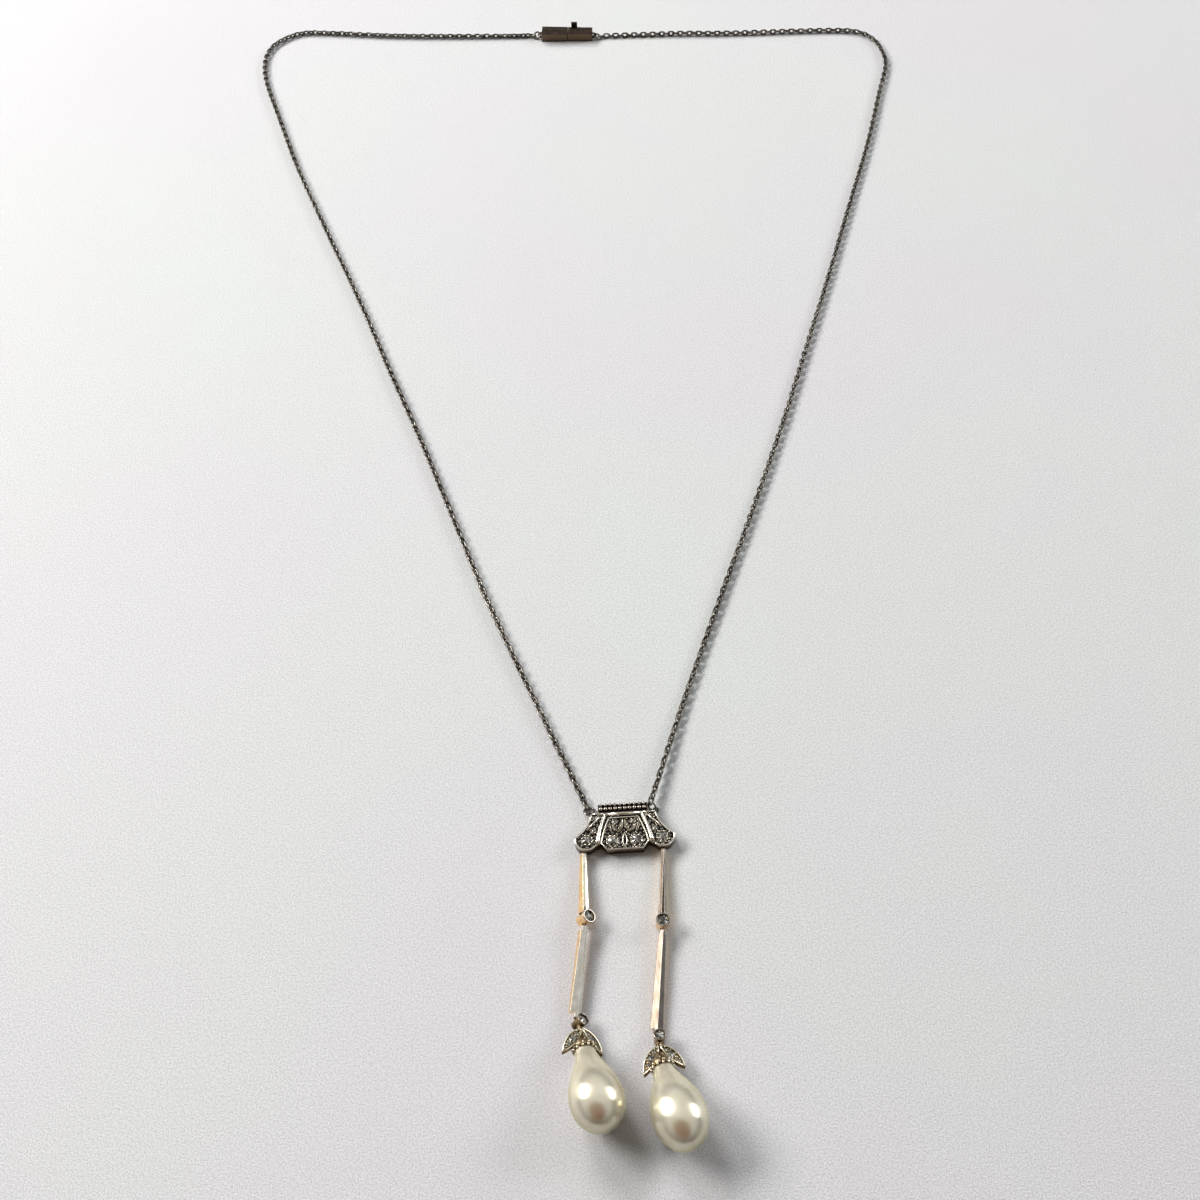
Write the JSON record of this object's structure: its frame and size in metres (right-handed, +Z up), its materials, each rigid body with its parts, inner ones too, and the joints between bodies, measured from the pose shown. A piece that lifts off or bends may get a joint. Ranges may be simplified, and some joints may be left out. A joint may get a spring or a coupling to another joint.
{
  "type": "uneven drop necklace",
  "caption": "Fine trace-chain necklace with a box clasp, a small pierced stone-set plaque and two hinged bar drops of unequal length that end in leaf caps and teardrop pearls.",
  "frame": {"origin": "centre of the bounding box in plan, at the height of the surface that the necklace lies on", "axes": "+X towards the wearer's left as it lies face up, +Y towards the clasp, the drops point to -Y, +Z up out of the surface"},
  "size_m": [0.1172, 0.2102, 0.0065],
  "materials": {
    "oxidised_silver": "dark oxidised silver with bright wear on the links' crowns",
    "clasp_metal": "dark brown tarnished gilt silver, worn at its edges",
    "silver": "platinum-topped white metal with blackened recesses and polished ribs and grains",
    "gold_bar": "polished pale gold knife-edge bars with a white metal ridge",
    "gold_cap": "antique gold with dark recesses and bright millgrained edges",
    "stone": "colourless old-cut stones that look dark grey with sparks",
    "nacre": "cream pearl nacre with soft lustre and a faint green and rose tint"
  },
  "bodies": {
    "root": {"chain_left": "oxidised_silver", "chain_right": "oxidised_silver", "clasp_box": "clasp_metal", "clasp_tongue": "clasp_metal", "clasp_ring_left": "clasp_metal", "clasp_ring_right": "clasp_metal", "plaque": "silver", "plaque_ring_left": "oxidised_silver", "plaque_ring_right": "oxidised_silver", "panel_stone_left": "stone", "corner_stone_left": "stone", "lobe_stone_left": "stone", "wing_upper_stone_left": "stone", "wing_lower_stone_left": "stone", "panel_stone_right": "stone", "corner_stone_right": "stone", "lobe_stone_right": "stone", "wing_upper_stone_right": "stone", "wing_lower_stone_right": "stone", "upper_bar_left": "gold_bar", "upper_stone_left": "stone", "lower_bar_left": "gold_bar", "leaf_cap_left": "gold_cap", "cap_stone_left": "stone", "pearl_left": "nacre", "upper_bar_right": "gold_bar", "upper_stone_right": "stone", "lower_bar_right": "gold_bar", "leaf_cap_right": "gold_cap", "cap_stone_right": "stone", "pearl_right": "nacre", "leaf_stone_outer_1_left": "stone", "leaf_stone_outer_2_left": "stone", "leaf_stone_outer_3_left": "stone", "leaf_stone_inner_1_left": "stone", "leaf_stone_inner_2_left": "stone", "leaf_stone_inner_3_left": "stone", "leaf_stone_outer_1_right": "stone", "leaf_stone_outer_2_right": "stone", "leaf_stone_outer_3_right": "stone", "leaf_stone_inner_1_right": "stone", "leaf_stone_inner_2_right": "stone", "leaf_stone_inner_3_right": "stone"}
  },
  "joints": []
}
